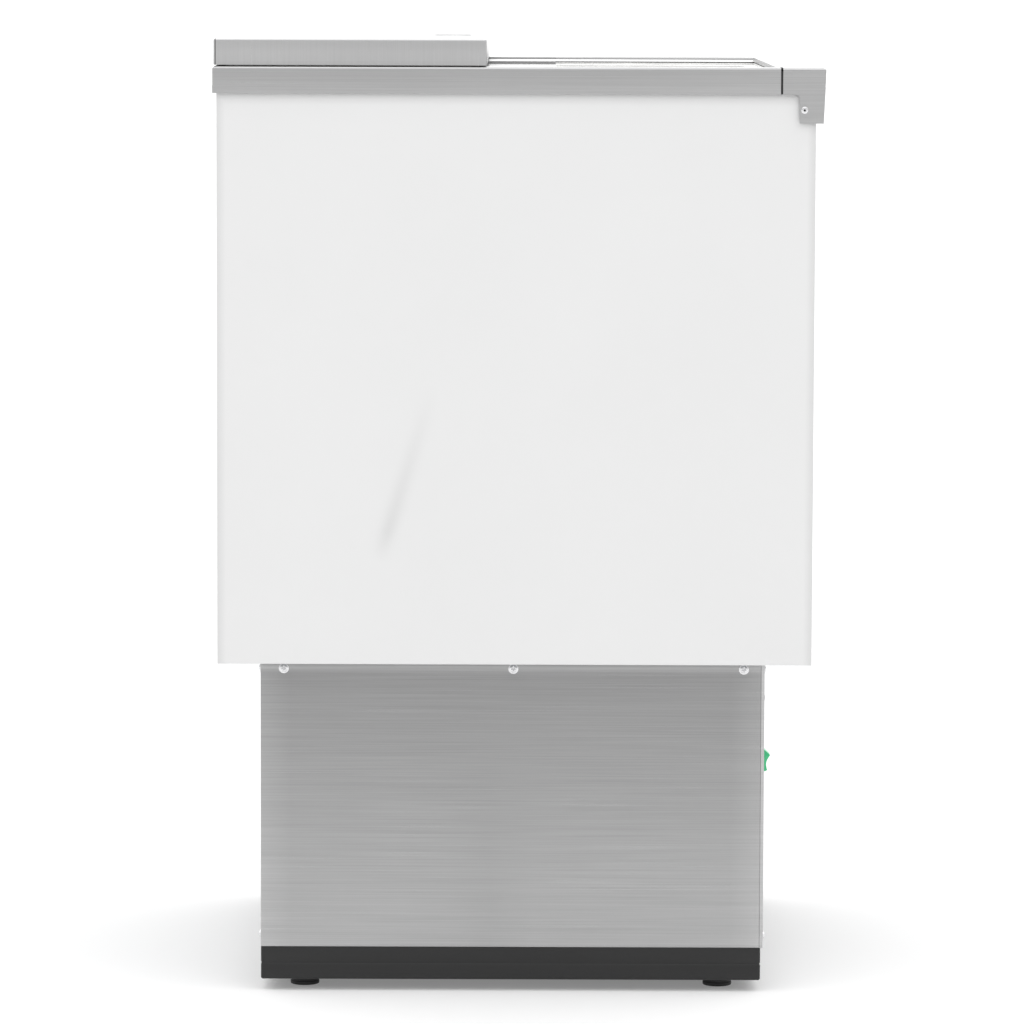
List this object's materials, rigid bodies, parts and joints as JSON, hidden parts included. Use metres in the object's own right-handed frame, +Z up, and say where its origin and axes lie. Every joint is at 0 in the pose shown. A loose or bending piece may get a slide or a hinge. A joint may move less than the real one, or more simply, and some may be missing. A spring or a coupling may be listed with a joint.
{
  "type": "chest freezer",
  "caption": "Compact chest freezer with a sliding insulated lid, stainless top frame, white cabinet and a narrower machine base on levelling feet.",
  "frame": {"origin": "centre of the overall box, on the floor under the feet", "axes": "+Z up, -Y out of the front, where the front rail and the switch are, +X to the right of someone who faces the front"},
  "size_m": [0.6124, 0.624, 0.981],
  "materials": {
    "cabinet_white": "smooth white enamel",
    "brushed_stainless": "brushed",
    "liner_white": "gloss",
    "foam": "cellular, matte",
    "galvanised": "galvanised sheet",
    "black_paint": "satin black",
    "dark_paint": "satin",
    "black_rubber": "matte",
    "black_plastic": "matte",
    "copper": "bright copper",
    "zinc": "zinc plated",
    "glide_plastic": "matte",
    "rack_wire": "plated wire",
    "drain_plastic": "satin",
    "fin_aluminium": "satin",
    "rocker_green": "translucent gloss",
    "display_red": "gloss",
    "key_grey": "matte"
  },
  "bodies": {
    "cabinet": {"left_side_panel": "cabinet_white", "right_side_panel": "cabinet_white", "front_panel": "cabinet_white", "rear_panel": "galvanised", "cabinet_bottom": "galvanised", "insulation": "foam", "well_liner": "liner_white", "breaker_frame": "liner_white", "top_frame": "brushed_stainless", "rear_deck": "brushed_stainless", "deck_foam": "foam", "deck_liner": "liner_white", "front_rail": "brushed_stainless", "front_rail_rivets": "zinc", "wire_rack": "rack_wire", "drain_pipe": "drain_plastic", "evaporator_coil": "copper", "base_pan": "black_paint", "base_left_panel": "brushed_stainless", "base_right_panel": "brushed_stainless", "front_grille": "brushed_stainless", "rear_grille": "galvanised", "base_frame": "galvanised", "base_screws": "zinc", "foot_nuts": "zinc", "compressor_shell": "dark_paint", "compressor_bracket": "dark_paint", "compressor_grommets": "black_rubber", "compressor_bolts": "zinc", "compressor_relay_cover": "black_plastic", "condenser_fins": "fin_aluminium", "condenser_coil": "copper", "fan_shroud": "galvanised", "fan_motor": "dark_paint", "fan_motor_bracket": "galvanised", "filter_drier": "copper", "suction_line": "black_rubber", "discharge_line": "copper", "liquid_line": "copper", "capillary_line": "copper", "switch_body": "black_plastic", "controller_body": "black_plastic", "controller_window": "display_red", "electrical_box": "galvanised", "power_gland": "black_plastic"},
    "lid": {"lid_shell": "brushed_stainless", "lid_foam": "foam", "lid_liner": "brushed_stainless", "lid_gasket": "black_rubber", "lid_glides": "glide_plastic", "lid_pull": "brushed_stainless"},
    "rocker": {"switch_rocker": "rocker_green"},
    "fan": {"fan_blade": "black_plastic"},
    "foot_fl": {"foot_front_left": "black_plastic"},
    "foot_fr": {"foot_front_right": "black_plastic"},
    "foot_rl": {"foot_rear_left": "black_plastic"},
    "foot_rr": {"foot_rear_right": "black_plastic"},
    "key_set": {"controller_key_set": "key_grey"},
    "key_up": {"controller_key_up": "key_grey"},
    "key_down": {"controller_key_down": "key_grey"}
  },
  "joints": [
    {"name": "lid_slide", "type": "slide", "parent": "cabinet", "child": "lid", "axis": [0, -1, 0], "range_m": [0, 0.303]},
    {"name": "switch_rock", "type": "hinge", "parent": "cabinet", "child": "rocker", "pos_m": [-0.223, -0.249, 0.233], "axis": [-1, 0, 0], "range_deg": [0, 22]},
    {"name": "fan_spin", "type": "hinge", "parent": "cabinet", "child": "fan", "pos_m": [0.105, -0.177, 0.1545], "axis": [0, 1, 0], "continuous": true},
    {"name": "foot_front_left_screw", "type": "slide", "parent": "cabinet", "child": "foot_fl", "axis": [0, 0, -1], "range_m": [0, 0.01]},
    {"name": "foot_front_right_screw", "type": "slide", "parent": "cabinet", "child": "foot_fr", "axis": [0, 0, -1], "range_m": [0, 0.01]},
    {"name": "foot_rear_left_screw", "type": "slide", "parent": "cabinet", "child": "foot_rl", "axis": [0, 0, -1], "range_m": [0, 0.01]},
    {"name": "foot_rear_right_screw", "type": "slide", "parent": "cabinet", "child": "foot_rr", "axis": [0, 0, -1], "range_m": [0, 0.01]},
    {"name": "key_set_press", "type": "slide", "parent": "cabinet", "child": "key_set", "axis": [0, 1, 0], "range_m": [0, 0.0006], "stiffness_N_per_m": 300},
    {"name": "key_up_press", "type": "slide", "parent": "cabinet", "child": "key_up", "axis": [0, 1, 0], "range_m": [0, 0.0006], "stiffness_N_per_m": 300},
    {"name": "key_down_press", "type": "slide", "parent": "cabinet", "child": "key_down", "axis": [0, 1, 0], "range_m": [0, 0.0006], "stiffness_N_per_m": 300}
  ]
}
